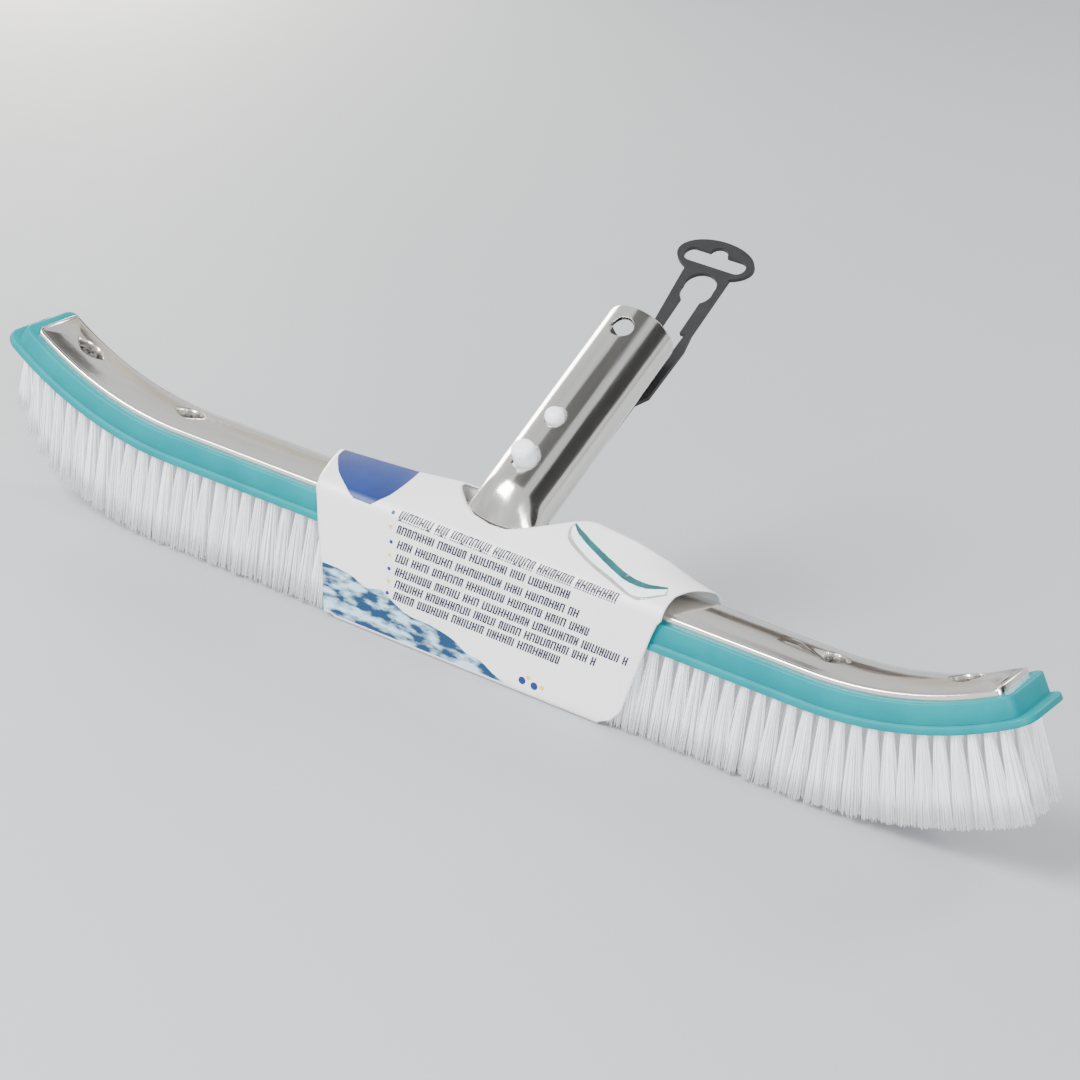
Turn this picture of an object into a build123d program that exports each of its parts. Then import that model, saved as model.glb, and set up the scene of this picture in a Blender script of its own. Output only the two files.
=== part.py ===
from build123d import *
from math import cos, radians, sin
import os

# ---------------------------------------------------------------- driving dimensions (mm)
# Curved back: straight in the middle, both ends bent up on an arc.
CARD_T = 0.5                      # cardboard thickness, also the layer the brush stands on
TIP_GAP = 0.3                     # bristle tips above the card
BRISTLE_L = 36.2                  # free bristle length
BODY_H = 11.8                     # plastic back height
TOP_Z = CARD_T + TIP_GAP + BRISTLE_L + BODY_H
BEND_R = 144.8                    # bend radius measured at the top face of the back
STRAIGHT = 143.3                  # half length of the straight middle
FLANGE_S = 230.1                  # half length along the curve of the lower flange
BODY_S = 225.8                    # half length along the curve of the back above it
BAR_S = 221.4                     # half length along the curve of the aluminium bar

BODY_W = 30.6
FLANGE_W = 31.6
FLANGE_T = 3.0
FLANGE_CORNER = 6.0
FLANGE_OVERLAP = 0.5              # the back reaches this far into its flange, so that they join
BODY_CORNER = 4.0

BAR_W = 24.9
BAR_LIP = 2.1                     # height of the bar's vertical edges
BAR_CROWN = 4.8                   # height of the bar at its middle
BAR_END_CORNER = 2.5

SCREW_S = (-202.0, -146.8, 146.8, 202.0)
SCREW_HEAD_R = 3.4
SCREW_HEAD_H = 2.0
SCREW_SHANK_R = 1.75
SCREW_L = 9.0
SCREW_SEAT = 1.6                  # floor of the counterbore above the back
POCKET_R = 4.6
CROSS_W = 0.8
CROSS_L = 4.0
CROSS_DEPTH = 1.0
THREAD_GAP = 0.05

ROW_Y = (-12.2, -6.1, 0.0, 6.1, 12.2)
ROW_NAMES = ("a", "b", "c", "d", "e")
TUFT_PITCH = 6.5
TUFT_COUNT = 70
TUFT_BASE_R = 2.1
TUFT_TIP_R = 3.0
TUFT_SIDES = 8
TUFT_ROOT_GAP = 0.1
FAN_RIGHT = 0.8                   # share of the bend angle the tufts follow at the +X end
FAN_LEFT = -0.1                   # the -X end tufts stand almost upright
END_TRIM = (14.0, 7.0, 3.0)       # shortening of the last tufts at the -X end

# Pole socket: leans back, away from the front of the brush.
TILT = 31.6                       # socket axis above the horizontal
AXIS_Y = 2.6
SOCKET_R = 15.0
SOCKET_BORE_R = 13.4
SOCKET_L = 107.3                  # rim, measured along the axis from the top of the bar
BORE_FLOOR_L = 14.0
SOCKET_START_L = -14.0
FRONT_WALL_Y = -2.5               # the socket's foot ends in an upright wall here
HEEL_Y = 16.6                     # behind this the socket may hang below the bar's top
CROSS_HOLE_L = 96.8
CROSS_HOLE_R = 5.0
PIN_L = 46.2
PIN_R = 3.9
PIN_HOLE_R = 4.7
PIN_PROUD = 3.5
BUTTON_L = 24.3
BUTTON_R = 4.7
BUTTON_HOLE_R = 6.0
BUTTON_PROUD = 7.0
PIN_DOME = 0.8                    # rounding of the stud, as a share of its radius
BUTTON_DOME = 0.6
FOOT_LONG = 52.0
FOOT_WIDE = 16.0
FOOT_Y = 4.0                      # the foot plate's middle sits behind the brush's middle plane
FOOT_TOP = 7.3                    # height of the foot plate above the plastic back
FOOT_SCREW_X = 20.0
FOOT_SCREW_L = 13.0
FOOT_GAP = 0.05                   # under the foot plate

# Spring clip inside the socket.
CLIP_W = 9.0
CLIP_T = 2.0
CLIP_FLAT = 12.2                  # outer face of an arm from the socket axis
CLIP_HINGE_L = 78.0
CLIP_HINGE_R = 4.5
CLIP_KNEE_L = 56.0
CLIP_END_L = 17.0
CLIP_GAP = 0.3

# Hanger strap behind the socket.
STRAP_FACE = 15.3
STRAP_T = 1.8
HEAD_W = 35.0
HEAD_H = 19.6
HEAD_L = 165.4
SLOT_W = 28.4
SLOT_H = 7.4
SLOT_L = 164.6
BUMP_R = 4.0
BUMP_RISE = 3.2
NECK_R = 7.0
NECK_L = 150.0
NECK_STRETCH = 3.0                # the eye is longer than round by this
LEG_TOP_W = 21.4
LEG_MID_W = 18.0
LEG_MID_L = 126.0
LEG_LOW_W = 21.2
LEG_LOW_TOP_L = 117.0
LEG_LOW_END_L = 90.0
TAIL_W = 14.2
TAIL_START_L = 84.5
KEY_W = 8.8
WINDOW_W = 13.0
WINDOW_L = (88.0, 124.5)
STRAP_DRIFT = ((PIN_L, 0.0), (LEG_LOW_TOP_L, 1.4), (132.0, 1.6), (NECK_L, 0.4), (HEAD_L, -0.9))

# Card sleeve wrapped round the middle.
SLEEVE_HALF_W = 16.3              # inside half width
SLEEVE_TOP = 5.3                  # inside height of the folds above the plastic back
SLEEVE_BACK = 12.0                # inside height of the rear fold, pushed up by the socket
SLEEVE_ARCH = 11.0                # inside height of the arched top
SLEEVE_BOTTOM_X = (-58.0, 71.0)
SLEEVE_TOP_X = (-74.0, 88.0)
CUT_X = (-31.0, 33.0)
CUT_Y = -7.3
CUT_DEPTH = 14.0

MATCH = 0.1                       # slack when an edge is picked by its length
TILT_RAD = radians(TILT)
AXIS_DIR = Vector(0, cos(TILT_RAD), sin(TILT_RAD))
FRONT_DIR = Vector(0, -sin(TILT_RAD), cos(TILT_RAD))
AXIS_ORIGIN = Vector(0, AXIS_Y, TOP_Z + BAR_CROWN)


# ---------------------------------------------------------------- curved back helpers
def curve_point(s, n):
    """Point in the XZ plane at distance s along the top face and height n above it."""
    side = 1 if s >= 0 else -1
    angle = max(abs(s) - STRAIGHT, 0.0) / BEND_R
    x = min(abs(s), STRAIGHT) + BEND_R * sin(angle) - n * sin(angle)
    z = BEND_R * (1 - cos(angle)) + n * cos(angle)
    return Vector(side * x, 0, TOP_Z + z)


def curve_angle(s):
    """Signed tilt of the surface at s; positive where the +X end rises."""
    side = 1 if s >= 0 else -1
    return side * max(abs(s) - STRAIGHT, 0.0) / BEND_R


def curve_plane(s, n, y=0.0):
    """Plane on the back at s, its Z along the local normal."""
    angle = curve_angle(s)
    origin = curve_point(s, n) + Vector(0, y, 0)
    return Plane(origin=origin, x_dir=(cos(angle), 0, sin(angle)), z_dir=(-sin(angle), 0, cos(angle)))


def offset_path(s_end, n):
    """Arc, line, arc at height n, from -s_end to s_end."""
    mid = (STRAIGHT + s_end) / 2
    left = ThreePointArc(curve_point(-s_end, n), curve_point(-mid, n), curve_point(-STRAIGHT, n))
    line = Line(curve_point(-STRAIGHT, n), curve_point(STRAIGHT, n))
    right = ThreePointArc(curve_point(STRAIGHT, n), curve_point(mid, n), curve_point(s_end, n))
    return [left, line, right]


def band(s_end, n_low, n_high, width, corner):
    """Curved slab between two heights with rounded corners seen from above."""
    top = offset_path(s_end, n_high)
    bottom = offset_path(s_end, n_low)
    ends = []
    for s in (-s_end, s_end):
        ends.append(Line(curve_point(s, n_low), curve_point(s, n_high)))
    face = make_face(Wire(top + bottom + ends))
    slab = extrude(face, amount=width / 2, dir=(0, 1, 0), both=True)
    corners = slab.edges().filter_by(GeomType.LINE).filter_by(lambda e: e.length < n_high - n_low + MATCH)
    corners = corners.filter_by(lambda e: abs(e.center().X) > STRAIGHT)
    return fillet(corners, corner)


# ---------------------------------------------------------------- back, bar and screws
def make_body():
    flange = band(FLANGE_S, -BODY_H, FLANGE_T - BODY_H, FLANGE_W, FLANGE_CORNER)
    block = band(BODY_S, FLANGE_T - BODY_H - FLANGE_OVERLAP, 0.0, BODY_W, BODY_CORNER)
    body = flange + block
    for s in SCREW_S:
        body -= screw_hole(curve_plane(s, SCREW_SEAT), SCREW_L)
    for x in (-FOOT_SCREW_X, FOOT_SCREW_X):
        body -= screw_hole(curve_plane(x, FOOT_TOP, FOOT_Y), FOOT_SCREW_L)
    return body


def screw_hole(plane, depth):
    return extrude(plane * Circle(SCREW_SHANK_R + THREAD_GAP), amount=-depth - CLIP_GAP)


def bar_profile():
    half = BAR_W / 2
    outline = [
        Line((-half, 0), (half, 0)),
        Line((half, 0), (half, BAR_LIP)),
        ThreePointArc((half, BAR_LIP), (0, BAR_CROWN), (-half, BAR_LIP)),
        Line((-half, BAR_LIP), (-half, 0)),
    ]
    return make_face(Wire(outline))


def make_bar():
    path = Wire(offset_path(BAR_S, 0.0))
    angle = -curve_angle(BAR_S)
    start = Plane(origin=curve_point(-BAR_S, 0), x_dir=(0, 1, 0), z_dir=(cos(angle), 0, sin(angle)))
    bar = sweep(start * bar_profile(), path=path)
    ends = bar.edges().filter_by(GeomType.LINE).filter_by(lambda e: abs(e.length - BAR_LIP) < MATCH)
    bar = fillet(ends, BAR_END_CORNER)
    for s in SCREW_S:
        bar -= extrude(curve_plane(s, SCREW_SEAT) * Circle(POCKET_R), amount=BAR_CROWN)
        bar -= screw_hole(curve_plane(s, SCREW_SEAT), SCREW_L)
    for x in (-FOOT_SCREW_X, FOOT_SCREW_X):
        bar -= screw_hole(curve_plane(x, FOOT_TOP, FOOT_Y), FOOT_SCREW_L)
    return bar


def make_screw(plane, length):
    """Cross-head screw whose head sits on the plane."""
    head = extrude(plane * Circle(SCREW_HEAD_R), amount=SCREW_HEAD_H)
    head = fillet(rim_edges(head, plane), SCREW_HEAD_H / 2)
    shank = extrude(plane * Circle(SCREW_SHANK_R), amount=-length)
    cross_plane = plane.offset(SCREW_HEAD_H)
    cross = Rectangle(CROSS_L, CROSS_W) + Rectangle(CROSS_W, CROSS_L)
    return head + shank - extrude(cross_plane * cross, amount=-CROSS_DEPTH)


def rim_edges(head, plane):
    """Edges of the top rim of a screw head."""
    return [max(head.edges().filter_by(GeomType.CIRCLE), key=lambda e: plane.to_local_coords(e.center()).Z)]


def make_bar_screws():
    return Compound(children=[make_screw(curve_plane(s, SCREW_SEAT), SCREW_L) for s in SCREW_S])


def make_handle_screws():
    places = (-FOOT_SCREW_X, FOOT_SCREW_X)
    return Compound(children=[make_screw(curve_plane(x, FOOT_TOP, FOOT_Y), FOOT_SCREW_L) for x in places])


# ---------------------------------------------------------------- bristles
def tuft_stations(row):
    """Distances along the curve of one row's tufts; odd rows sit half a pitch across."""
    count = TUFT_COUNT - row % 2
    stations = []
    for i in range(count):
        u = (i - (count - 1) / 2) * TUFT_PITCH
        side = 1 if u >= 0 else -1
        over = max(abs(u) - STRAIGHT, 0.0) * BEND_R / (BEND_R + BODY_H)
        stations.append(side * (min(abs(u), STRAIGHT) + over))
    return stations


def make_tuft(s, y, length):
    """One tuft as a slightly flaring eight-sided bundle."""
    share = FAN_RIGHT if s > 0 else FAN_LEFT
    lean = share * curve_angle(s)
    down = Vector(sin(lean), 0, -cos(lean))
    root = curve_point(s, -BODY_H) + Vector(0, y, 0) + down * root_drop(s, lean)
    base = Plane(origin=root, x_dir=(cos(lean), 0, sin(lean)), z_dir=down)
    tip = base.offset(length)
    root_face = base * RegularPolygon(TUFT_BASE_R, TUFT_SIDES)
    tip_face = tip * RegularPolygon(TUFT_TIP_R, TUFT_SIDES)
    return loft([root_face.faces()[0], tip_face.faces()[0]], ruled=True)


def root_drop(s, lean):
    """Keeps a tuft's root clear of the back where the two are not square to each other."""
    skew = abs(curve_angle(s) - lean)
    return TUFT_ROOT_GAP + TUFT_BASE_R * sin(skew)


def make_tuft_rows():
    """Each row is three groups of tufts: left end, middle and right end."""
    groups = {}
    for row, name in enumerate(ROW_NAMES):
        for i, s in enumerate(tuft_stations(row)):
            trim = END_TRIM[i] if i < len(END_TRIM) else 0.0
            part = "left" if s < -STRAIGHT else "right" if s > STRAIGHT else "middle"
            groups.setdefault(f"tufts_{name}_{part}", []).append(make_tuft(s, ROW_Y[row], BRISTLE_L - trim))
    return groups


# ---------------------------------------------------------------- pole socket
def axis_plane(distance):
    """Plane square to the socket axis, Z towards the rim."""
    return Plane(origin=AXIS_ORIGIN + AXIS_DIR * distance, x_dir=(1, 0, 0), z_dir=AXIS_DIR)


def side_plane(distance, radius, front):
    """Plane tangent to the socket, Z pointing outwards on the front or rear side."""
    out = FRONT_DIR if front else FRONT_DIR * -1
    return Plane(origin=AXIS_ORIGIN + AXIS_DIR * distance + out * radius, x_dir=(1, 0, 0), z_dir=out)


def rod(radius, start, end):
    return extrude(axis_plane(start) * Circle(radius), amount=end - start)


def socket_outside():
    """The socket's outer shape: a leaning rod cut flat at the front and under its foot."""
    room = 4 * SOCKET_L
    outside = rod(SOCKET_R, SOCKET_START_L, SOCKET_L)
    outside -= Pos(0, FRONT_WALL_Y - room / 2, TOP_Z) * Box(room, room, room)
    outside -= Pos(0, HEEL_Y - room / 2, TOP_Z + BAR_LIP - room / 2) * Box(room, room, room)
    return outside - bar_blank()


def make_socket():
    socket = socket_outside()
    socket -= rod(SOCKET_BORE_R, BORE_FLOOR_L, SOCKET_L + 1)
    for distance, radius in ((CROSS_HOLE_L, CROSS_HOLE_R), (PIN_L, PIN_HOLE_R)):
        hole_plane = side_plane(distance, 0, True)
        socket -= extrude(hole_plane * Circle(radius), amount=SOCKET_R * 2, both=True)
    for front in (True, False):
        hole_plane = side_plane(BUTTON_L, SOCKET_BORE_R / 2, front)
        socket -= extrude(hole_plane * Circle(BUTTON_HOLE_R), amount=SOCKET_R)
    return socket


def make_foot_plate():
    """Oval plate round the socket's foot, shaped to the bar underneath."""
    plate_plane = Plane.XY.offset(TOP_Z + BAR_LIP)
    plate_face = plate_plane * (Pos(0, FOOT_Y) * Ellipse(FOOT_LONG / 2, FOOT_WIDE / 2))
    plate = extrude(plate_face, amount=FOOT_TOP - BAR_LIP)
    plate -= bar_blank()
    plate -= socket_outside()
    for x in (-FOOT_SCREW_X, FOOT_SCREW_X):
        plate -= screw_hole(curve_plane(x, FOOT_TOP, FOOT_Y), FOOT_SCREW_L)
    return plate


def bar_blank():
    """Straight piece of the bar's section, slightly grown, that shapes the foot's underside."""
    plane = Plane(origin=(-FOOT_LONG, 0, TOP_Z + FOOT_GAP), x_dir=(0, 1, 0), z_dir=(1, 0, 0))
    return extrude(plane * bar_profile(), amount=2 * FOOT_LONG)


# ---------------------------------------------------------------- spring clip
def clip_plane():
    """Length along the socket axis is local X, distance towards the front is local Y."""
    return Plane(origin=AXIS_ORIGIN - Vector(CLIP_W / 2, 0, 0), x_dir=AXIS_DIR, z_dir=(1, 0, 0))


def make_bend():
    ring = Circle(CLIP_HINGE_R + CLIP_T / 2) - Circle(CLIP_HINGE_R - CLIP_T / 2)
    reach = 2 * CLIP_HINGE_R + CLIP_T
    half = ring & (Pos(reach / 2, 0) * Rectangle(reach, 2 * reach))
    return extrude(clip_plane() * (Pos(CLIP_HINGE_L + CLIP_GAP, 0) * half), amount=CLIP_W)


def make_arm(front):
    side = 1 if front else -1
    inner_hinge = CLIP_HINGE_R - CLIP_T / 2
    outer_hinge = CLIP_HINGE_R + CLIP_T / 2
    inner_flat = CLIP_FLAT - CLIP_T
    outline = [
        (CLIP_HINGE_L, side * inner_hinge),
        (CLIP_HINGE_L, side * outer_hinge),
        (CLIP_KNEE_L, side * CLIP_FLAT),
        (CLIP_END_L, side * CLIP_FLAT),
        (CLIP_END_L, side * inner_flat),
        (CLIP_KNEE_L, side * inner_flat),
    ]
    arm = extrude(clip_plane() * make_face(Polyline(*outline, close=True)), amount=CLIP_W)
    arm += stud(PIN_L, PIN_R, PIN_PROUD, PIN_R * PIN_DOME, front)
    arm += stud(BUTTON_L, BUTTON_R, BUTTON_PROUD, BUTTON_R * BUTTON_DOME, front)
    return arm


def stud(distance, radius, proud, dome, front):
    """Round-topped stud standing out of an arm through the socket wall."""
    plane = side_plane(distance, CLIP_FLAT - CLIP_T / 2, front)
    height = SOCKET_R + proud - CLIP_FLAT + CLIP_T / 2
    body = extrude(plane * Circle(radius), amount=height)
    return fillet(rim_edges(body, plane), dome)


# ---------------------------------------------------------------- hanger strap
def strap_drift(distance):
    """How far the soft strap's centre line has bent sideways."""
    for (near, start), (far, end) in zip(STRAP_DRIFT, STRAP_DRIFT[1:]):
        if distance <= far:
            return start + (end - start) * (distance - near) / (far - near)
    return STRAP_DRIFT[-1][1]


def strap_point(x, distance):
    return (x + strap_drift(distance), distance - PIN_L)


def strap_spot(distance):
    """Place on the strap's centre line."""
    return Pos(*strap_point(0, distance))


def strap_gap(width, distances):
    """Opening between the legs that follows the centre line."""
    left = [strap_point(-width / 2, d) for d in distances]
    right = [strap_point(width / 2, d) for d in reversed(distances)]
    return make_face(Polyline(*left, *right, close=True))


def make_strap():
    """Flat strap lying behind the socket; its slot hooks over the rear lock pin."""
    outline = [
        (-LEG_TOP_W / 2, HEAD_L),
        (-LEG_MID_W / 2, LEG_MID_L),
        (-LEG_LOW_W / 2, LEG_LOW_TOP_L),
        (-LEG_LOW_W / 2, LEG_LOW_END_L),
        (-TAIL_W / 2, TAIL_START_L),
        (-TAIL_W / 2, PIN_L),
    ]
    outline += [(-x, d) for x, d in reversed(outline)]
    blank = make_face(Polyline(*[strap_point(x, d) for x, d in outline], close=True))
    blank += Circle(TAIL_W / 2)
    blank += strap_spot(HEAD_L) * Ellipse(HEAD_W / 2, HEAD_H / 2)
    blank -= strap_gap(KEY_W, (PIN_L, LEG_LOW_TOP_L, NECK_L))
    blank -= Circle(KEY_W / 2)
    blank -= strap_gap(WINDOW_W, WINDOW_L)
    for distance in (NECK_L - NECK_STRETCH, NECK_L):
        blank -= strap_spot(distance) * Circle(NECK_R)
    blank -= strap_spot(SLOT_L) * SlotOverall(SLOT_W, SLOT_H)
    blank -= strap_spot(SLOT_L + BUMP_RISE) * Circle(BUMP_R)
    plane = Plane(
        origin=AXIS_ORIGIN + AXIS_DIR * PIN_L - FRONT_DIR * STRAP_FACE,
        x_dir=(1, 0, 0),
        z_dir=FRONT_DIR,
    )
    return extrude(plane * blank, amount=-STRAP_T)


# ---------------------------------------------------------------- card sleeve
def sleeve_outline(grow):
    half = SLEEVE_HALF_W + grow
    low = CARD_T - grow
    fold = TOP_Z + SLEEVE_TOP + grow
    back = TOP_Z + SLEEVE_BACK + grow
    arch = TOP_Z + SLEEVE_ARCH + grow
    edges = [
        Line((-half, low), (half, low)),
        Line((half, low), (half, back)),
        ThreePointArc((half, back), (0, arch), (-half, fold)),
        Line((-half, fold), (-half, low)),
    ]
    return make_face(Wire(edges))


def make_sleeve():
    reach = SLEEVE_TOP_X[1] - SLEEVE_TOP_X[0]
    plane = Plane(origin=(SLEEVE_TOP_X[0], 0, 0), x_dir=(0, 1, 0), z_dir=(1, 0, 0))
    ring = extrude(plane * (sleeve_outline(CARD_T) - sleeve_outline(0.0)), amount=reach)
    ring &= side_shape()
    width = CUT_X[1] - CUT_X[0]
    depth = 2 * SLEEVE_HALF_W
    centre_x = (CUT_X[0] + CUT_X[1]) / 2
    ring -= Pos(centre_x, CUT_Y + depth / 2, TOP_Z) * Box(width, depth, 2 * CUT_DEPTH)
    return ring


def side_shape():
    """Side view of the sleeve: narrower at the bottom than at the top."""
    outline = [
        (SLEEVE_BOTTOM_X[0], 0),
        (SLEEVE_BOTTOM_X[1], 0),
        (SLEEVE_TOP_X[1], TOP_Z),
        (SLEEVE_TOP_X[1], TOP_Z + 2 * SLEEVE_ARCH),
        (SLEEVE_TOP_X[0], TOP_Z + 2 * SLEEVE_ARCH),
        (SLEEVE_TOP_X[0], TOP_Z),
    ]
    face = make_face(Plane.XZ * Polyline(*outline, close=True))
    return extrude(face, amount=2 * SLEEVE_HALF_W, both=True)


# ---------------------------------------------------------------- write one file per node
def main():
    os.makedirs("parts", exist_ok=True)
    nodes = {
        "brush_body": make_body(),
        "aluminium_bar": make_bar(),
        "bar_screws": make_bar_screws(),
        "handle_socket": make_socket(),
        "foot_plate": make_foot_plate(),
        "handle_screws": make_handle_screws(),
        "clip_bend": make_bend(),
        "clip_arm_front": make_arm(True),
        "clip_arm_rear": make_arm(False),
        "hanger_strap": make_strap(),
        "card_sleeve": make_sleeve(),
    }
    for name, tufts in make_tuft_rows().items():
        nodes[name] = Compound(children=tufts)
    for name, shape in nodes.items():
        export_step(shape, f"parts/{name}.step")


main()
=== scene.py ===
import math
import random
import bpy
import bmesh
from mathutils import Matrix, Vector


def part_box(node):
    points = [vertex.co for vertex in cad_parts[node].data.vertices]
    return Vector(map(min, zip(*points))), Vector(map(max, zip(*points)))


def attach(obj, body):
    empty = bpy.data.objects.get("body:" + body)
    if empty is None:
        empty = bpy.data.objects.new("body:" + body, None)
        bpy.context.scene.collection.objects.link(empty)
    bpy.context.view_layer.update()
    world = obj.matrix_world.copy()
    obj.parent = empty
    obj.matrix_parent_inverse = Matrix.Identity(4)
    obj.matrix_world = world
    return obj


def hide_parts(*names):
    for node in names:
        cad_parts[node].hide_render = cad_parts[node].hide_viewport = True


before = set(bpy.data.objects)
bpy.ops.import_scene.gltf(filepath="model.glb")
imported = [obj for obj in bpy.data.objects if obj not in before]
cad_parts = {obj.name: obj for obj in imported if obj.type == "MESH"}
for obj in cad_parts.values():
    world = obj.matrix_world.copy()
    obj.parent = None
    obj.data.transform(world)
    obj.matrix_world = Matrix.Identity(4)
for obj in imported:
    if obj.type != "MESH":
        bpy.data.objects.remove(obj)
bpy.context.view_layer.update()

MM = 0.001

# Main sizes in millimetres. n is the height above the plastic back's top face, s runs along the back.
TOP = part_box("aluminium_bar")[0].z / MM
STRAIGHT = 143.3
BEND_R = 144.8
BODY_H = 11.8
TILT = math.radians(31.6)
AXIS_Y = 2.6
CROWN = 4.8
TUBE_R = 15.0
TUBE_T = 1.6
RIM_L = 107.3
FLANGE_HALF = (230.1, 15.8)       # half length along the curve and half width
BLOCK_HALF = (225.8, 15.3)
BAR_HALF = (221.4, 12.45)
BAR_LIP = 2.1
random.seed(7)


# ---------------------------------------------------------------- mapping and mesh helpers
def place(s, y, n):
    """Point above the back: s along its curve, y across, n square to its top face."""
    side = 1.0 if s >= 0 else -1.0
    angle = max(abs(s) - STRAIGHT, 0.0) / BEND_R
    reach = min(abs(s), STRAIGHT) + BEND_R * math.sin(angle)
    x = side * (reach - n * math.sin(angle))
    z = TOP + BEND_R * (1 - math.cos(angle)) + n * math.cos(angle)
    return Vector((x * MM, y * MM, z * MM))


def axis_point(x, along, front):
    """Point in the socket's frame: across, along its axis, and towards its front side."""
    y = AXIS_Y + math.cos(TILT) * along - math.sin(TILT) * front
    z = TOP + CROWN + math.sin(TILT) * along + math.cos(TILT) * front
    return Vector((x * MM, y * MM, z * MM))


def lerp(a, b, t):
    return a + (b - a) * t


def smooth(t):
    t = min(max(t, 0.0), 1.0)
    return t * t * (3 - 2 * t)


def table(x, rows):
    """Straight-line reading of a short list of (x, value) rows."""
    if x <= rows[0][0]:
        return rows[0][1]
    for (x0, v0), (x1, v1) in zip(rows, rows[1:]):
        if x <= x1:
            return lerp(v0, v1, (x - x0) / (x1 - x0))
    return rows[-1][1]


def mesh_piece(name, verts, faces, mat, body="brush", angle=35.0, merge=True):
    mesh = bpy.data.meshes.new(name)
    mesh.from_pydata([tuple(v) for v in verts], [], faces)
    if merge:
        bm = bmesh.new()
        bm.from_mesh(mesh)
        bmesh.ops.remove_doubles(bm, verts=bm.verts, dist=1e-6)
        bmesh.ops.dissolve_degenerate(bm, edges=bm.edges, dist=1e-7)
        bm.to_mesh(mesh)
        bm.free()
    mesh.validate()
    mesh.shade_smooth()
    if angle:
        mesh.set_sharp_from_angle(angle=math.radians(angle))
    obj = bpy.data.objects.new(name, mesh)
    bpy.context.scene.collection.objects.link(obj)
    mesh.materials.append(mat)
    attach(obj, body)
    return obj


def loop_faces(rings, columns, closed=True):
    faces = []
    last = columns if closed else columns - 1
    for i in range(rings - 1):
        for j in range(last):
            k = (j + 1) % columns
            faces.append((i * columns + j, i * columns + k, (i + 1) * columns + k, (i + 1) * columns + j))
    return faces


# ---------------------------------------------------------------- materials
def node_material(name, colour, other, roughness, metallic=0.0, scale=120.0, bump=0.1, grain=900.0,
                  stretch=(1, 1, 1), turn=0.0, spread=0.06, edge=(0.35, 0.65), **sockets):
    """Principled material with patchy colour, uneven gloss and a fine bump."""
    mat = bpy.data.materials.new(name)
    mat.use_nodes = True
    nodes, links = mat.node_tree.nodes, mat.node_tree.links
    shader = nodes["Principled BSDF"]
    shader.inputs["Metallic"].default_value = metallic
    for key, value in sockets.items():
        shader.inputs[key.replace("_", " ")].default_value = value
    coords = nodes.new("ShaderNodeTexCoord")
    turned = nodes.new("ShaderNodeMapping")
    turned.inputs["Rotation"].default_value = (turn, 0, 0)
    scaled = nodes.new("ShaderNodeMapping")
    scaled.inputs["Scale"].default_value = stretch
    links.new(coords.outputs["Object"], turned.inputs["Vector"])
    links.new(turned.outputs["Vector"], scaled.inputs["Vector"])

    def noise(size, detail):
        tex = nodes.new("ShaderNodeTexNoise")
        tex.inputs["Scale"].default_value = size
        tex.inputs["Detail"].default_value = detail
        links.new(scaled.outputs["Vector"], tex.inputs["Vector"])
        return tex.outputs["Fac"]

    patches = noise(scale, 4.0)
    fine = noise(grain, 2.0)
    ramp = nodes.new("ShaderNodeValToRGB")
    ramp.color_ramp.elements[0].position = edge[0]
    ramp.color_ramp.elements[0].color = (*other, 1)
    ramp.color_ramp.elements[1].position = edge[1]
    ramp.color_ramp.elements[1].color = (*colour, 1)
    links.new(patches, ramp.inputs["Fac"])
    links.new(ramp.outputs["Color"], shader.inputs["Base Color"])
    gloss = nodes.new("ShaderNodeMapRange")
    gloss.inputs["To Min"].default_value = max(roughness - spread, 0.02)
    gloss.inputs["To Max"].default_value = roughness + spread
    links.new(fine, gloss.inputs["Value"])
    links.new(gloss.outputs["Result"], shader.inputs["Roughness"])
    dents = nodes.new("ShaderNodeBump")
    dents.inputs["Strength"].default_value = bump
    dents.inputs["Distance"].default_value = 0.0004
    links.new(fine, dents.inputs["Height"])
    links.new(dents.outputs["Normal"], shader.inputs["Normal"])
    return mat


TURQUOISE = node_material("turquoise", (0.0, 0.215, 0.235), (0.0, 0.185, 0.21), 0.4, scale=60, bump=0.06,
                          grain=1400, Specular_IOR_Level=0.12)
BAR_METAL = node_material("bar_aluminium", (0.86, 0.83, 0.78), (0.70, 0.67, 0.62), 0.17, 1.0, scale=70,
                          bump=0.16, grain=420, stretch=(0.08, 1, 1))
TUBE_METAL = node_material("tube_aluminium", (0.84, 0.81, 0.76), (0.66, 0.64, 0.61), 0.17, 1.0, scale=170,
                           bump=0.2, grain=330, stretch=(1, 0.05, 1), turn=-TILT)
# Painted shade: dark colour for the tube's inner wall, standing in for the shade inside it.
TUBE_INSIDE_SHADE = node_material("tube_inside_painted_shade", (0.10, 0.10, 0.10), (0.06, 0.06, 0.06), 0.6, 0.3, scale=110, bump=0.1)
# Painted shade: darker, duller metal for the inside of each screw pocket, where shade falls.
POCKET_PAINTED_SHADE = node_material("pocket_painted_shade", (0.26, 0.245, 0.22), (0.15, 0.14, 0.125), 0.45, 1.0, scale=400,
                             bump=0.1)
STEEL = node_material("screw_steel", (0.30, 0.285, 0.265), (0.17, 0.16, 0.15), 0.48, 1.0, scale=500,
                      bump=0.08)
WHITE = node_material("white_plastic", (0.86, 0.87, 0.88), (0.82, 0.83, 0.85), 0.32, scale=150, bump=0.05)
BLACK = node_material("black_plastic", (0.008, 0.008, 0.008), (0.005, 0.005, 0.005), 0.5, scale=200,
                      bump=0.25, grain=1800)
CARD = node_material("white_card", (0.83, 0.81, 0.80), (0.79, 0.77, 0.77), 0.42, scale=35, bump=0.08,
                     grain=1500, Coat_Weight=0.12, Coat_Roughness=0.3)
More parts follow.
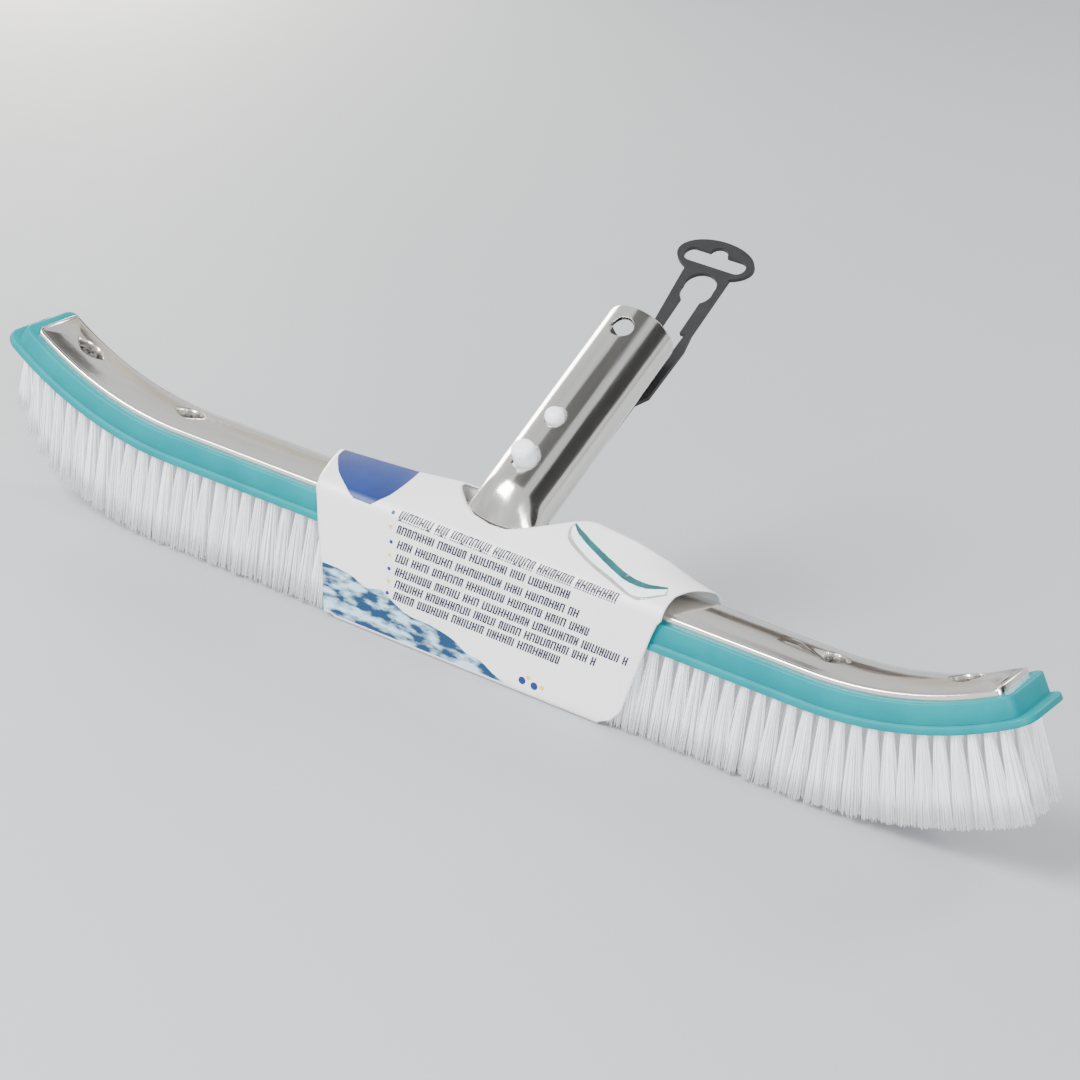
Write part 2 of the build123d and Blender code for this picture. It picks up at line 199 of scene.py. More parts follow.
# Painted glow: a small emission brightens the bristles, standing in for light scattered through the nylon.
GLOWING_NYLON = node_material("nylon_painted_glow", (0.96, 0.965, 0.975), (0.88, 0.90, 0.93), 0.35, scale=700, bump=0.03,
                        stretch=(1, 1, 0.15), Emission_Color=(0.93, 0.95, 1.0, 1), Emission_Strength=0.16)
INK = node_material("navy_ink", (0.002, 0.003, 0.022), (0.003, 0.005, 0.03), 0.5, scale=300, bump=0.03)
BLUE = node_material("blue_ink", (0.001, 0.018, 0.13), (0.002, 0.03, 0.17), 0.45, scale=45, bump=0.03)
WATER = node_material("water_ink", (0.42, 0.62, 0.72), (0.0, 0.035, 0.10), 0.4, scale=170, bump=0.03,
                      stretch=(0.6, 1, 1.6), edge=(0.44, 0.60))
TEAL = node_material("teal_ink", (0.01, 0.11, 0.11), (0.01, 0.07, 0.075), 0.4, scale=200, bump=0.03)
PALE = node_material("pale_ink", (0.84, 0.90, 0.91), (0.70, 0.83, 0.86), 0.4, scale=150, bump=0.03)
SHADE = node_material("shade_ink", (0.30, 0.27, 0.26), (0.40, 0.37, 0.36), 0.45, scale=150, bump=0.03)
YELLOW = node_material("yellow_ink", (0.75, 0.58, 0.05), (0.68, 0.50, 0.04), 0.45, scale=300, bump=0.03)


def finish_node(name, mat, bevel=0.0):
    """Gives a CAD node its material and, if asked, a rounded edge."""
    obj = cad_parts[name]
    for holder in obj.material_slots:
        holder.material = mat
    if bevel:
        mod = obj.modifiers.new("edge", "BEVEL")
        mod.width = bevel * MM
        mod.segments = 2
        mod.limit_method = "ANGLE"
        mod.angle_limit = math.radians(40)


# ---------------------------------------------------------------- back and bar
def run_stations(half, fine=()):
    """Stations along half the back, closer together near the given places."""
    out, s = [], -half
    while s < half:
        out.append(s)
        near = any(abs(s - f) < 10 for f in fine)
        s += 0.4 if near else (3.0 if abs(s) > STRAIGHT - 5 else 9.0)
    return out + [half]


def corner_arc(s, y, radius, start, steps):
    """Quarter circle about (s, y), from the start angle in degrees."""
    angles = [math.radians(start + 90 * k / steps) for k in range(steps + 1)]
    return [(s + radius * math.cos(a), y + radius * math.sin(a)) for a in angles]


def slab_rings(rings, stations, arc=7):
    """Rings of a rounded bar. Each ring is (half length, half width, corner radius, height function)."""
    verts = []
    for half_s, half_y, radius, height in rings:
        radius = max(radius, 0.001)
        end = max(half_s - radius, 0.0)
        side = max(half_y - radius, 0.0)
        loop = [(min(max(s, -end), end), -half_y) for s in stations]
        for corner_s, corner_y, start in ((end, -side, -90), (end, side, 0)):
            loop += corner_arc(corner_s, corner_y, radius, start, arc)
        loop += [(min(max(s, -end), end), half_y) for s in reversed(stations)]
        for corner_s, corner_y, start in ((-end, side, 90), (-end, -side, 180)):
            loop += corner_arc(corner_s, corner_y, radius, start, arc)
        verts += [place(s, y, height(s, y)) for s, y in loop]
    return verts, len(verts) // len(rings)


def flat(n):
    return lambda s, y: n


def make_back():
    hs, hy = FLANGE_HALF
    rings = [(hs - d, hy - d, 6 - d, flat(-BODY_H)) for d in (15.75, 12, 6, 0.6)]
    rings += [(hs - 0.15, hy - 0.15, 5.9, flat(-BODY_H + 0.15)), (hs, hy, 6, flat(-BODY_H + 0.6)),
              (hs, hy, 6, flat(-9.5)), (hs - 0.2, hy - 0.2, 5.8, flat(-9.0)),
              (hs - 0.7, hy - 0.45, 5.6, flat(-8.8))]
    bs, by = BLOCK_HALF
    rings += [(bs + 0.6, by - 0.1, 4.4, flat(-8.75)), (bs, by - 0.35, 4, flat(-8.45)),
              (bs, by, 4, flat(-7.9)), (bs, by, 4, flat(-0.8)),
              (bs - 0.25, by - 0.25, 3.8, flat(-0.22)), (bs - 0.8, by - 0.8, 3.3, flat(0))]
    rings += [(bs - d, by - d, 4 - d, flat(0)) for d in (2.5, 6, 10, 13, 15.25)]
    verts, columns = slab_rings(rings, run_stations(hs))
    obj = mesh_piece("back", verts, loop_faces(len(rings), columns), TURQUOISE, angle=50)
    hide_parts("brush_body")


SCREW_S = (-202.0, -146.8, 146.8, 202.0)
POCKET = (7.6, 4.6)               # half length and half width
POCKET_WALL = 0.34                # share of the pocket taken by its sloping wall
POCKET_SHADE_FROM = 0.1                 # share from which the pocket's metal gets painted shade
HEAD_SEAT = 1.6
HEAD_R = 3.4
CROSS_HALF_W = 0.5
CROSS_REACH = 2.3
CROSS_DEPTH = 1.5


def pocket_share(s, y, centre):
    """Positive inside the almond-shaped pocket round a screw, 1 at its middle."""
    return 1 - ((s - centre) / POCKET[0]) ** 2 - abs(y / POCKET[1])


def bar_height(s, y):
    """Crowned top with a pocket round each screw."""
    n = BAR_LIP + (CROWN - BAR_LIP) * (1 - (y / BAR_HALF[1]) ** 2)
    for centre in SCREW_S:
        inside = pocket_share(s, y, centre)
        if inside > 0:
            n = lerp(n, HEAD_SEAT, smooth(inside / POCKET_WALL))
    return n


def make_bar():
    hs, hy = BAR_HALF
    groove = 0.28
    rings = [(hs - 11, hy - 11, 0, flat(0)), (hs, hy, 2.5, flat(0))]
    rings += [(hs, hy, 2.5, lambda s, y: bar_height(s, y) - 0.35),
              (hs - 0.12, hy - 0.12, 2.4, lambda s, y: bar_height(s, y) - 0.1),
              (hs - 0.4, hy - 0.4, 2.1, bar_height), (hs - 1.1, hy - 1.1, 1.4, bar_height),
              (hs - 1.5, hy - 1.5, 1.0, lambda s, y: bar_height(s, y) - groove),
              (hs - 1.9, hy - 1.9, 0.6, bar_height)]
    inset = 3.0
    while inset < 12.4:
        rings.append((hs - inset, hy - inset, 0, bar_height))
        inset += 0.38 if inset > 6.4 else 1.1
    rings.append((hs - 12.449, 0.001, 0, bar_height))
    verts, columns = slab_rings(rings, run_stations(hs, SCREW_S))
    obj = mesh_piece("bar", verts, loop_faces(len(rings), columns), BAR_METAL, angle=75)
    # Faces inside each pocket get the painted shade metal.
    obj.data.materials.append(POCKET_PAINTED_SHADE)
    for face in obj.data.polygons:
        x, y, z = (c / MM for c in face.center)
        angle = math.atan2(max(abs(x) - STRAIGHT, 0.0), BEND_R - (z - TOP))
        s = math.copysign(min(abs(x), STRAIGHT) + BEND_R * angle, x)
        for centre in SCREW_S:
            if pocket_share(s, y, centre) > POCKET_SHADE_FROM and z > TOP + 1:
                face.material_index = 1
    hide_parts("aluminium_bar")


def make_screw_heads():
    verts, faces = [], []
    segments = 64
    for k, s0 in enumerate(SCREW_S):
        turn = math.radians(20 + 37 * k)
        rings = [(0.8, -1.2), (HEAD_R, 0.0), (HEAD_R, 0.9)]
        rings += [(HEAD_R * math.cos(a), 0.9 + math.sin(a)) for a in (0.3, 0.6)]
        rings += [(2.7 * (1 - j / 14), None) for j in range(15)]
        start = len(verts)
        for radius, height in rings:
            for j in range(segments):
                a = 2 * math.pi * j / segments
                px, py = radius * math.cos(a), radius * math.sin(a)
                n = height
                if n is None:
                    n = 1.95 - 0.028 * radius * radius
                    u = px * math.cos(turn) + py * math.sin(turn)
                    v = -px * math.sin(turn) + py * math.cos(turn)
                    if min(abs(u), abs(v)) < CROSS_HALF_W and radius < CROSS_REACH:
                        n -= CROSS_DEPTH * smooth((CROSS_REACH - radius) / 0.5)
                verts.append(place(s0 + px, py, HEAD_SEAT + n))
        faces += [tuple(start + v for v in face) for face in loop_faces(len(rings), segments)]
    obj = mesh_piece("screw_heads", verts, faces, STEEL)
    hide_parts("bar_screws")


# ---------------------------------------------------------------- pole socket
FOOT_START = 14.0
# Holes through the tube: place along the axis, radius and side, 90 degrees being the front.
HOLES = tuple((along, radius, side) for along, radius in ((96.8, 5.0), (46.2, 4.7), (24.3, 6.0))
              for side in (90, 270))


def foot_base(theta):
    """Where the flared foot ends, for the generator at theta (90 degrees is the front)."""
    c, s = math.cos(theta), math.sin(theta)
    on_plate = (1.2 + 1.2 - math.cos(TILT) * TUBE_R * s) / math.sin(TILT)
    behind = (14.0 + math.sin(TILT) * TUBE_R * s) / math.cos(TILT)
    along = min(on_plate, behind)
    plain = axis_point(TUBE_R * c, along, TUBE_R * s)
    flared = Vector((16.2 * c * MM, (4.0 - 7.0 * s) * MM, (TOP + 7.2) * MM))
    return plain.lerp(flared, smooth((math.degrees(math.asin(s)) + 25) / 40))


def foot_point(theta, t):
    """Smooth run from the base (t 0) to the straight tube (t 1)."""
    c, s = math.cos(theta), math.sin(theta)
    start, end = foot_base(theta), axis_point(TUBE_R * c, FOOT_START, TUBE_R * s)
    axis = axis_point(0, 1, 0) - axis_point(0, 0, 0)
    gap = (end - start).length
    pull = smooth((math.degrees(math.asin(s)) + 25) / 40)
    rise = Vector((-0.35 * c, 0.25 * s, 1.0)).normalized()
    m0 = (axis.normalized().lerp(rise, pull)) * gap
    m1 = axis.normalized() * gap
    t2, t3 = t * t, t * t * t
    return start * (2 * t3 - 3 * t2 + 1) + m0 * (t3 - 2 * t2 + t) + end * (3 * t2 - 2 * t3) + m1 * (t3 - t2)


def make_tube():
    columns, low_rows = 144, 14
    step = 0.9
    high_rows = int((RIM_L - FOOT_START) / step)
    info, verts = [], []
    for i in range(low_rows):
        for j in range(columns):
            verts.append(foot_point(2 * math.pi * j / columns, i / low_rows))
            info.append(None)
    for i in range(high_rows + 1):
        along = lerp(FOOT_START, RIM_L, i / high_rows)
        for j in range(columns):
            theta = 360.0 * j / columns
            crease = 0.16 if j == columns // 4 + 2 and 34 < along < RIM_L - 0.5 else 0.0
            a = math.radians(theta)
            verts.append(axis_point((TUBE_R - crease) * math.cos(a), along, (TUBE_R - crease) * math.sin(a)))
            info.append((theta, along))
    faces = loop_faces(low_rows + high_rows + 1, columns)

    def hole_offset(spot, hole):
        if spot is None:
            return None
        turn = (spot[0] - hole[2] + 180) % 360 - 180
        if abs(turn) > 60:
            return None
        return TUBE_R * math.sin(math.radians(turn)), spot[1] - hole[0]

    kept, cut_verts = [], set()
    for face in faces:
        inside = False
        for hole in HOLES:
            spots = [hole_offset(info[v], hole) for v in face]
            if all(spot is not None for spot in spots):
                mid = (sum(p[0] for p in spots) / 4, sum(p[1] for p in spots) / 4)
                if math.hypot(*mid) < hole[1]:
                    inside = True
        if inside:
            cut_verts.update(face)
        else:
            kept.append(face)
    edge = {v for face in kept for v in face} & cut_verts
    for v in edge:
        for hole in HOLES:
            spot = hole_offset(info[v], hole)
            if spot is not None and math.hypot(*spot) < hole[1] + 1.5:
                size = hole[1] / math.hypot(*spot)
                across, along = spot[0] * size, hole[0] + spot[1] * size
                front = math.sqrt(TUBE_R ** 2 - across ** 2)
                side = 1 if hole[2] == 90 else -1
                verts[v] = axis_point(-across * side, along, front * side)
    base_mid = sum((verts[j] for j in range(columns)), Vector()) / columns
    verts.append(base_mid)
    kept += [(j, len(verts) - 1, (j + 1) % columns) for j in range(columns)]
    kept = [tuple(reversed(face)) for face in kept]
    obj = mesh_piece("socket_tube", verts, kept, TUBE_METAL, angle=48)
    wall = obj.modifiers.new("wall", "SOLIDIFY")
    wall.thickness = TUBE_T * MM
    wall.offset = -1
    # The inner wall takes the painted shade colour.
    obj.data.materials.append(TUBE_INSIDE_SHADE)
    wall.material_offset = 1
    edge_round = obj.modifiers.new("edge", "BEVEL")
    edge_round.width = 0.25 * MM
    edge_round.segments = 2
    edge_round.limit_method = "ANGLE"
    edge_round.angle_limit = math.radians(55)
    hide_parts("handle_socket")


# ---------------------------------------------------------------- bristles
ROWS = (("a", -12.2), ("b", -6.1), ("c", 0.0), ("d", 6.1), ("e", 12.2))
PITCH = 6.5
BRISTLE_L = 36.2
TRIM = (14.0, 7.0, 3.0)
FILAMENTS = 84                    # in each tuft
FILAMENTS_RIGHT = 130             # in each tuft of the splayed right end
FILAMENT_R = 0.23
FLOOR_GAP = 0.0009                # lowest height of a tip, in metres


def tuft_stations(row):
    """Distances along the curve of one row of tufts; odd rows sit half a pitch across."""
    count = 70 if row % 2 == 0 else 69
    out = []
    for i in range(count):
        u = (i - (count - 1) / 2) * PITCH
        over = max(abs(u) - STRAIGHT, 0.0) * BEND_R / (BEND_R + BODY_H)
        out.append(math.copysign(min(abs(u), STRAIGHT) + over, u))
    return out


def filament(verts, faces, root, tip, bow, radius):
    """One thin three-sided bristle with a slight bow."""
    steps = 3
    base = len(verts)
    for i in range(steps + 1):
        t = i / steps
        mid = root.lerp(tip, t) + bow * (4 * t * (1 - t)) * 0.6
        size = radius * (1.0 if t < 0.9 else 0.75)
        for k in range(3):
            a = 2 * math.pi * k / 3 + base
            verts.append(mid + Vector((math.cos(a) * size, math.sin(a) * size, 0)))
    for i in range(steps):
        for k in range(3):
            m = (k + 1) % 3
            faces.append((base + 3 * i + k, base + 3 * i + m, base + 3 * i + 3 + m, base + 3 * i + 3 + k))
    faces.append((base + 3 * steps, base + 3 * steps + 1, base + 3 * steps + 2))


def make_bristles():
    groups = {}
    for row, (letter, y) in enumerate(ROWS):
        for i, s in enumerate(tuft_stations(row)):
            part = "left" if s < -STRAIGHT else "right" if s > STRAIGHT else "middle"
            verts, faces = groups.setdefault(f"tufts_{letter}_{part}", ([], []))
            bend = math.copysign(max(abs(s) - STRAIGHT, 0.0) / BEND_R, s)
            lean = (0.8 if s > 0 else -0.1) * bend
            down = Vector((math.sin(lean), 0, -math.cos(lean)))
            along = Vector((math.cos(lean), 0, math.sin(lean)))
            length = BRISTLE_L - (TRIM[i] if i < len(TRIM) else 0.0)
            root = place(s, y, -BODY_H)
            sway = random.uniform(-0.6, 0.6)
            for _ in range(FILAMENTS_RIGHT if s > STRAIGHT else FILAMENTS):
                r, a = math.sqrt(random.random()), random.uniform(0, 2 * math.pi)
                spread = 3.9 + random.uniform(-0.3, 0.9)
                foot = root + (along * (1.6 * r * math.cos(a)) + Vector((0, 1.8 * r * math.sin(a), 0))) * MM
                reach = length - 0.1 - abs(random.gauss(0, 0.9))
                side = along * (spread * r * math.cos(a) + sway)
                side += Vector((0, 0.9 * spread * r * math.sin(a), 0))
                tip = root + (down * reach + side) * MM
                tip.z = max(tip.z, FLOOR_GAP)
                bow = Vector((random.gauss(0, 0.28), random.gauss(0, 0.28), 0)) * MM
                filament(verts, faces, foot, tip, bow, FILAMENT_R * MM)
    for name, (verts, faces) in groups.items():
        obj = mesh_piece("bristles" + name[5:], verts, faces, GLOWING_NYLON, angle=0, merge=False)
        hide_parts(name)


# ---------------------------------------------------------------- card sleeve
WALL_Y = 16.55
FOLD_R = 3.5
FRONT_N = 5.4
BOTTOM_N = -47.2                  # where the upright sides end at the lower fold
CARD_T = 0.45
# The lists below are measured outline points: height of the rear fold and rise of the top at x, right end
# of the top at y, ends of the front at height n, and the opening's edge as (x, y).
BACK_N = ((-83, 6.0), (-47, 8.8), (-26, 11.8), (10, 12.6), (36, 15.6), (54, 13.8), (68, 10.4),
          (81, 5.6), (92, 2.6))
BULGE = ((-80, 1.6), (-30, 0.6), (40, 0.6), (62, 1.2), (76, 3.6), (92, 5.6))
RIGHT_TOP_X = ((-16.5, 84.3), (-8, 84), (0, 87), (6, 90), (16.5, 91.5))
LEFT_X = ((-48.2, -54.0), (-46.8, -60.0), (-44.5, -62.4), (-35.4, -64.3), (-12.6, -69.3), (3, -72))
RIGHT_X = ((-48.2, 60.0), (-46.8, 67.0), (-44.7, 70.0), (-39.7, 73.6), (-16.9, 78.6),
           (-4.7, 81.4), (4.6, 84.3))
CUT = ((-17, 24), (-17, 15.0), (-20.5, 15.2), (-23.5, 14.2), (-24, 12.2), (-22.3, 9.5), (-19.8, 6.8),
       (-15.3, 2.2), (-8.2, -2.9), (0.6, -5.4), (7.5, -4.9), (14.6, 0.5), (20.8, 6.0),
       (27, 11.5), (34.5, 16.2), (34.5, 24))
REAR_CUT_N = -9.0


def card_top(x, y):
    t = (y + WALL_Y) / (2 * WALL_Y)
    n = lerp(FRONT_N, table(x, BACK_N), t) + table(x, BULGE) * 4 * t * (1 - t)
    edge = min(t, 1 - t) * 2 * WALL_Y / FOLD_R
    if edge < 1:
        n -= FOLD_R * (1 - math.sqrt(max(1 - (1 - edge) ** 2, 0)))
    return n


def card_rows():
    """Rows round the sleeve: (kind, y or share of wall height)."""
    rows = [("bottom", y) for y in (0, -8, -14)] + [("corner", -1)]
    rows += [("front", k / 22) for k in range(22)]
    rows += [("top", -WALL_Y + 2 * WALL_Y * (0.5 - 0.5 * math.cos(math.pi * k / 46))) for k in range(47)]
    rows += [("rear", 1 - k / 22) for k in range(1, 23)] + [("corner", 1)]
    return rows + [("bottom", y) for y in (14, 8, 0)]


def card_edges(kind, value):
    """Left and right end of one row."""
    if kind == "front":
        n = lerp(BOTTOM_N, FRONT_N - FOLD_R, value)
        return table(n, LEFT_X), table(n, RIGHT_X)
    if kind == "top":
        t = (value + WALL_Y) / (2 * WALL_Y)
        return lerp(-72, -83, t), table(value, RIGHT_TOP_X)
    if kind == "rear":
        return lerp(-60, -83, value), lerp(68, 91.5, value)
    return -57.0, 64.0


def card_wave(x, value):
    """Slight unevenness of the upright sides, none at the folds."""
    return (0.15 * math.sin(x / 19.0) + 0.1 * math.sin(x / 7.3 + 1)) * math.sin(math.pi * value)


def card_point(kind, value, x):
    if kind == "bottom":
        return x, value, -TOP + 0.25
    if kind == "corner":
        return x, value * (WALL_Y - 0.45), -TOP + 0.6
    if kind == "top":
        return x, value, card_top(x, value)
    side = -WALL_Y if kind == "front" else WALL_Y
    top = card_top(x, side)
    return x, side + card_wave(x, value), lerp(BOTTOM_N, top, value)


def nearest_on_cut(x, y):
    best = None
    for (x0, y0), (x1, y1) in zip(CUT, CUT[1:]):
        dx, dy = x1 - x0, y1 - y0
        t = min(max(((x - x0) * dx + (y - y0) * dy) / (dx * dx + dy * dy), 0), 1)
        spot = (x0 + dx * t, y0 + dy * t)
        gap = math.hypot(spot[0] - x, spot[1] - y)
        if best is None or gap < best[0]:
            best = (gap, spot)
    return best[1]


def in_cut(x, y, n):
    inside = False
    for (x0, y0), (x1, y1) in zip(CUT, CUT[1:] + CUT[:1]):
        if (y0 > y) != (y1 > y) and x < x0 + (x1 - x0) * (y - y0) / (y1 - y0):
            inside = not inside
    return inside and n > REAR_CUT_N


def make_sleeve():
    rows, columns = card_rows(), 150
    verts, kinds = [], []
    for kind, value in rows:
        low, high = card_edges(kind, value)
        for j in range(columns):
            verts.append(card_point(kind, value, lerp(low, high, j / (columns - 1))))
            kinds.append(kind)
    faces = loop_faces(len(rows), columns, closed=False)
    kept, gone = [], set()
    for face in faces:
        x, y, n = (sum(verts[v][k] for v in face) / 4 for k in range(3))
        if kinds[face[0]] in ("top", "rear") and in_cut(x, y, n):
            gone.update(face)
        else:
            kept.append(face)
    for v in {v for face in kept for v in face} & gone:
        if kinds[v] == "top" and abs(verts[v][1]) < WALL_Y - 0.5:
            x, y = nearest_on_cut(verts[v][0], verts[v][1])
            verts[v] = (x, y, card_top(x, y))
        elif kinds[v] == "rear":
            x, y, n = verts[v]
            side = min((CUT[0][0], CUT[-1][0]), key=lambda end: abs(end - x))
            verts[v] = (side, y, max(n, REAR_CUT_N)) if abs(side - x) < 1.2 else (x, y, REAR_CUT_N)
    spots = [Vector((x * MM, y * MM, (TOP + n) * MM)) for x, y, n in verts]
    obj = mesh_piece("sleeve", spots, kept, CARD, angle=0)
    thick = obj.modifiers.new("thickness", "SOLIDIFY")
    thick.thickness = CARD_T * MM
    thick.offset = 0
    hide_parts("card_sleeve")


# ---------------------------------------------------------------- generic print
SKIN = 0.24                       # outer face of the card from its middle layer
STEP = 0.15                       # step when walking over the curved top
INK_LIFT = 0.05


def print_point(x, q, lift):
    """Point on the printed side: q is the height on the front, and runs on over the fold."""
    start = FRONT_N - FOLD_R
    outer = WALL_Y + SKIN
    if q <= start:
        wave = card_wave(x, max((q - BOTTOM_N) / (start - BOTTOM_N), 0.0))
        return Vector((x * MM, (wave - outer - lift) * MM, (TOP + q) * MM))
    left, y, n = q - start, -WALL_Y, card_top(x, -WALL_Y)
    while True:
        y2 = y + STEP
        n2 = card_top(x, y2)
        run = math.hypot(STEP, n2 - n)
        if run >= left or y2 > WALL_Y - 0.2:
            break
        left, y, n = left - run, y2, n2
    out = Vector((0, -(n2 - n), STEP)).normalized() * ((SKIN + lift) * MM)
    return Vector((x * MM, y * MM, (TOP + n) * MM)) + out


def top_q(x, y):
    """The q of a place on the top, from its y."""
    q, pos, n = FRONT_N - FOLD_R, -WALL_Y, card_top(x, -WALL_Y)
    while pos < y:
        n2 = card_top(x, pos + STEP)
        q, pos, n = q + math.hypot(STEP, n2 - n), pos + STEP, n2
    return q


def print_strip(name, lower, upper, mat, lift, cells=(40, 8)):
    """Printed patch between two edges, each a function of t giving (x, q)."""
    verts = []
    for i in range(cells[1] + 1):
        for j in range(cells[0] + 1):
            t = j / cells[0]
            (x0, q0), (x1, q1) = lower(t), upper(t)
            k = i / cells[1]
            verts.append(print_point(lerp(x0, x1, k), lerp(q0, q1, k), lift))
    return mesh_piece(name, verts, loop_faces(cells[1] + 1, cells[0] + 1, closed=False), mat)


def path(points):
    """Smooth curve through a list of (x, q) points, as a function of t."""
    def at(t):
        f = t * (len(points) - 1)
        i = min(int(f), len(points) - 2)
        u = f - i
        p = [points[max(i - 1, 0)], points[i], points[i + 1], points[min(i + 2, len(points) - 1)]]
        return tuple(0.5 * (2 * p[1][k] + (p[2][k] - p[0][k]) * u
                            + (2 * p[0][k] - 5 * p[1][k] + 4 * p[2][k] - p[3][k]) * u * u
                            + (3 * p[1][k] - p[0][k] - 3 * p[2][k] + p[3][k]) * u ** 3) for k in range(2))
    return at


MARK_W = 0.68
MARK_H = 3.6
MARK_SLANT = 0.22
MARK_GAP = 0.42
DOT_SIDES = 14
# Measured rows of marks: height, start and end.
LINES = ((4.3, -36, 65), (-1.6, -36, 46), (-7.7, -35, 50), (-13.3, -35, 55), (-18.9, -34.5, 74),
         (-24.1, -34, 60), (-29.1, -34, 47))


def make_text():
    """Rows of abstract upright marks in place of lettering."""
    verts, faces = [], []

    def mark(x, q, width, height):
        base = len(verts)
        rows = 3
        for i in range(rows + 1):
            level = q + height * i / rows
            for dx in (0, width):
                verts.append(print_point(x + dx + MARK_SLANT * (level - q0), level, INK_LIFT))
        for i in range(rows):
            faces.append((base + 2 * i, base + 2 * i + 1, base + 2 * i + 3, base + 2 * i + 2))

    for q, start, end in LINES:
        q0, x = q - 1.8, start + 2.5
        left = random.randint(3, 9)
        while x < end - 1.5:
            wide = random.choice((0.7, 1.7, 1.9, 2.1))
            mark(x, q0, MARK_W, MARK_H)
            if wide > 1.2:
                mark(x + wide - MARK_W, q0, MARK_W, MARK_H)
                mark(x + 0.6, q0 + random.choice((0.0, 1.5, 3.0)), wide - 1.2, 0.6)
            x += wide + MARK_GAP
            left -= 1
            if left == 0:
                x, left = x + 1.4, random.randint(3, 10)
    mesh_piece("print_lines", verts, faces, INK, merge=False)


def make_dots(name, spots, mat):
    verts, faces = [], []
    for x, q, r in spots:
        base = len(verts)
        verts.append(print_point(x, q, INK_LIFT))
        for k in range(DOT_SIDES):
            a = 2 * math.pi * k / DOT_SIDES
            verts.append(print_point(x + r * math.cos(a), q + r * math.sin(a), INK_LIFT))
        faces += [(base, base + 1 + k, base + 1 + (k + 1) % DOT_SIDES) for k in range(DOT_SIDES)]
    mesh_piece(name, verts, faces, mat, merge=False)


def make_print():
    """Marks, dots, splash, blue shape and brush picture, on measured outline points."""
    make_text()
    starts = [(start - 0.2, q) for q, start, end in LINES]
    blue = [(x, q, 0.8) for x, q in starts[::2]] + [(30, -43, 1.6), (35.5, -43.4, 1.6)]
    make_dots("print_dots_blue", blue, BLUE)
    yellow = [(x, q, 0.8) for x, q in starts[1::2]] + [(32.6, -41, 0.9), (39, -43, 1.0)]
    make_dots("print_dots_yellow", yellow, YELLOW)
    splash = path(((-65.5, -27), (-58, -27), (-51, -28), (-44, -30.5), (-37, -29), (-30, -32.5), (-23, -35),
                   (-13, -35.5), (-3, -37.5), (4, -41), (11, -42), (17, -45), (23, -47)))

    def splash_foot(t):
        return lerp(-62.3, 24, smooth(t) * 0.3 + t * 0.7), -47.0

    print_strip("print_splash", splash_foot, splash, WATER, 0.04, (80, 14))

    def on_top(points):
        return path([(x, top_q(x, y)) for x, y in points])

    drop_left = on_top(((-54, -16.2), (-58, -15.2), (-64, -11), (-70, -5.5), (-77, 4), (-79.5, 10),
                        (-81, 15.6)))
    drop_right = on_top(((-47, -16.2), (-44.6, -14.5), (-43, -10.5), (-42.6, -5), (-43, 3), (-44, 10),
                         (-45.6, 15.6)))
    print_strip("print_drop", drop_left, drop_right, BLUE, 0.05, (40, 24))
    back = on_top(((28.5, 11), (36, 6.0), (50.6, -0.6), (63.6, -5.4), (72, -6.4), (79, -4.3)))
    band = on_top(((29.2, 9.2), (35.5, 3.6), (49.6, -3.2), (62.6, -8.4), (72, -9.2), (79.4, -5.6)))
    tips = on_top(((28.4, 8.6), (33, 1.6), (45, -5.2), (57, -9.6), (71, -14.0), (80.2, -8.6)))
    shadow = on_top(((28, 8.0), (32, 0.4), (44, -6.4), (56, -10.9), (71.5, -15.0), (81.2, -9.0)))
    print_strip("print_picture_shadow", shadow, back, SHADE, 0.03)
    print_strip("print_picture_bristles", tips, band, PALE, 0.06)
    print_strip("print_picture_back", band, back, TEAL, 0.07)


# ---------------------------------------------------------------- floor, light and camera
def make_stage():
    bpy.ops.mesh.primitive_plane_add(size=40)
    floor = bpy.context.object
    floor.name = "floor"
    floor.location.z = -0.0002
    pale = node_material("floor_pale", (0.40, 0.41, 0.42), (0.385, 0.395, 0.405), 0.7, scale=2, bump=0.02,
                         grain=60)
    floor.data.materials.append(pale)


def area(name, spot, target, size, power, colour=(1, 1, 1), height=None):
    light = bpy.data.lights.new(name, "AREA")
    light.shape = "RECTANGLE"
    light.size, light.size_y = size, height or size
    light.energy, light.color = power, colour
    obj = bpy.data.objects.new(name, light)
    obj.location = spot
    obj.rotation_euler = (Vector(target) - Vector(spot)).to_track_quat("-Z", "Y").to_euler()
    bpy.context.scene.collection.objects.link(obj)


def flag(name, spot, target, width, height, shade):
    """Dark studio card that only shows in reflections."""
    mesh = bpy.data.meshes.new(name)
    w, h = width / 2, height / 2
    mesh.from_pydata([(-w, -h, 0), (w, -h, 0), (w, h, 0), (-w, h, 0)], [], [(0, 1, 2, 3)])
    mesh.materials.append(node_material(name, shade, shade, 0.9, scale=3, bump=0.0))
    obj = bpy.data.objects.new(name, mesh)
    obj.location = spot
    obj.rotation_euler = (Vector(target) - Vector(spot)).to_track_quat("-Z", "Y").to_euler()
    bpy.context.scene.collection.objects.link(obj)
    obj.visible_camera = obj.visible_diffuse = obj.visible_shadow = False


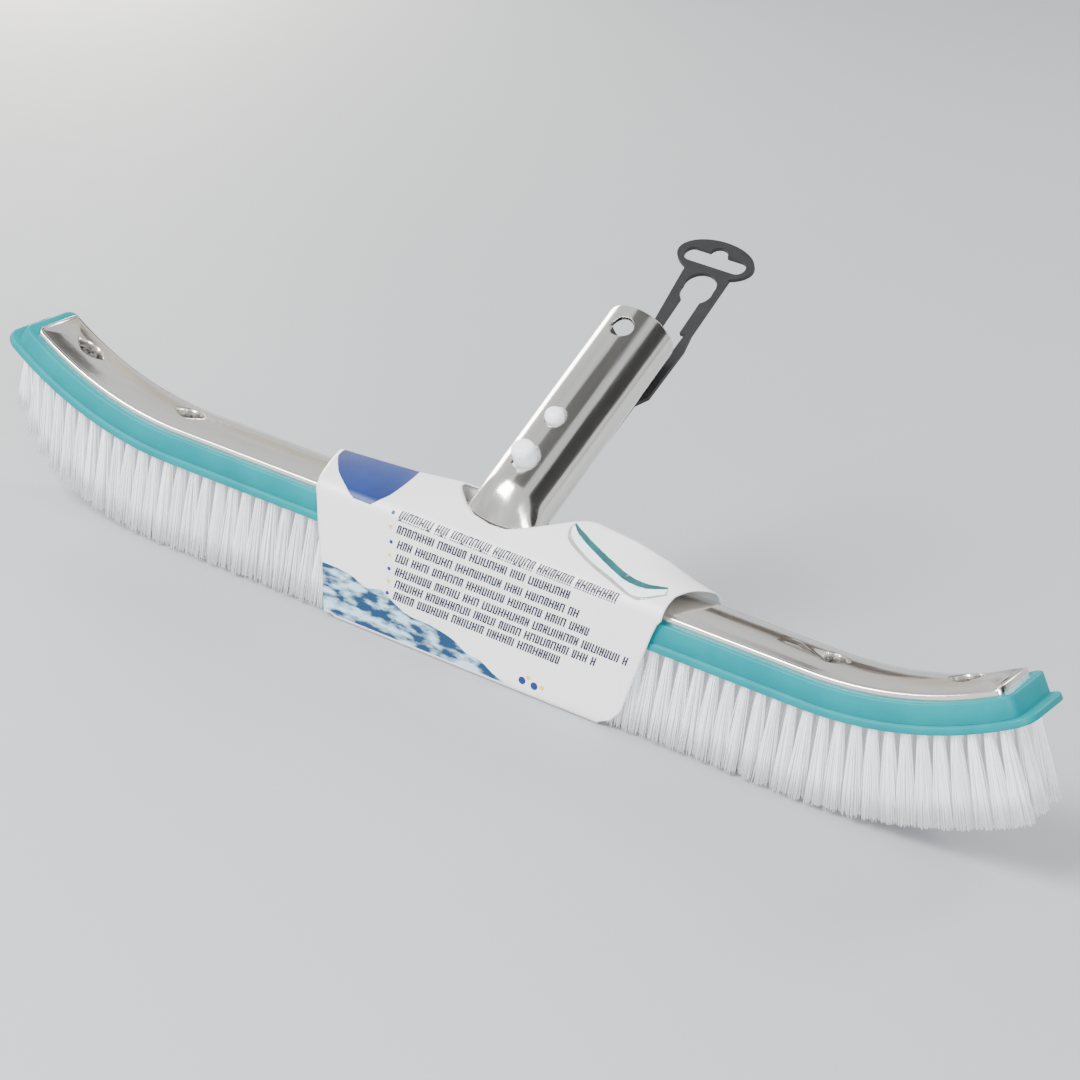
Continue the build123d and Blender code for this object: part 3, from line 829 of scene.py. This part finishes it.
def make_light_and_camera():
    world = bpy.data.worlds.new("studio")
    world.use_nodes = True
    world.node_tree.nodes["Background"].inputs["Color"].default_value = (0.93, 0.96, 1.0, 1)
    world.node_tree.nodes["Background"].inputs["Strength"].default_value = 1.0
    bpy.context.scene.world = world
    middle = (0, 0, 0.06)
    area("key", (-0.6, -1.0, 1.2), middle, 0.9, 62)
    area("fill", (0.9, -1.0, 0.5), middle, 0.6, 16, (0.95, 0.97, 1.0))
    area("rim", (0.5, 1.2, 0.9), middle, 0.5, 11)
    area("left", (-0.9, 0.65, 0.16), (0, 0.05, 0.09), 0.5, 9, (1.0, 0.94, 0.85), 0.3)
    flag("flag_right", (0.76, 0.25, 0.50), (0, 0.055, 0.085), 0.9, 0.62, (0.012, 0.012, 0.013))
    flag("flag_bend", (-0.17, 0.85, 0.66), (-0.17, 0, 0.07), 0.22, 0.34, (0.05, 0.042, 0.036))
    flag("flag_wide", (-0.25, 1.0, 0.55), (-0.1, 0, 0.06), 1.1, 0.42, (0.40, 0.365, 0.32))
    flag("flag_bar", (-0.30, 0.85, 0.44), (0.13, 0, 0.055), 0.2, 0.3, (0.06, 0.05, 0.042))
    flag("flag_top", (0.05, 0.06, 1.1), (0, 0.055, 0.085), 0.9, 0.7, (0.11, 0.11, 0.11))
    cam = bpy.data.cameras.new("camera")
    cam.lens, cam.sensor_width = 111.69, 36.0
    obj = bpy.data.objects.new("camera", cam)
    look = Vector((-0.4431, 0.7976, -0.4094)).normalized()
    up = Vector((-0.3172, 0.2876, 0.9037))
    right = look.cross(up).normalized()
    up = right.cross(look)
    turn = Matrix((right, up, -look)).transposed().to_4x4()
    obj.matrix_world = Matrix.Translation((0.5818, -1.0112, 0.5749)) @ turn
    bpy.context.scene.collection.objects.link(obj)
    bpy.context.scene.camera = obj


make_light_and_camera()
make_stage()
make_back()
make_bar()
make_screw_heads()
make_tube()
make_bristles()
make_sleeve()
make_print()
finish_node("foot_plate", TUBE_METAL, 0.3)
finish_node("handle_screws", STEEL)
for part in ("clip_bend", "clip_arm_front", "clip_arm_rear"):
    finish_node(part, WHITE, 0.2)
finish_node("hanger_strap", BLACK, 0.3)
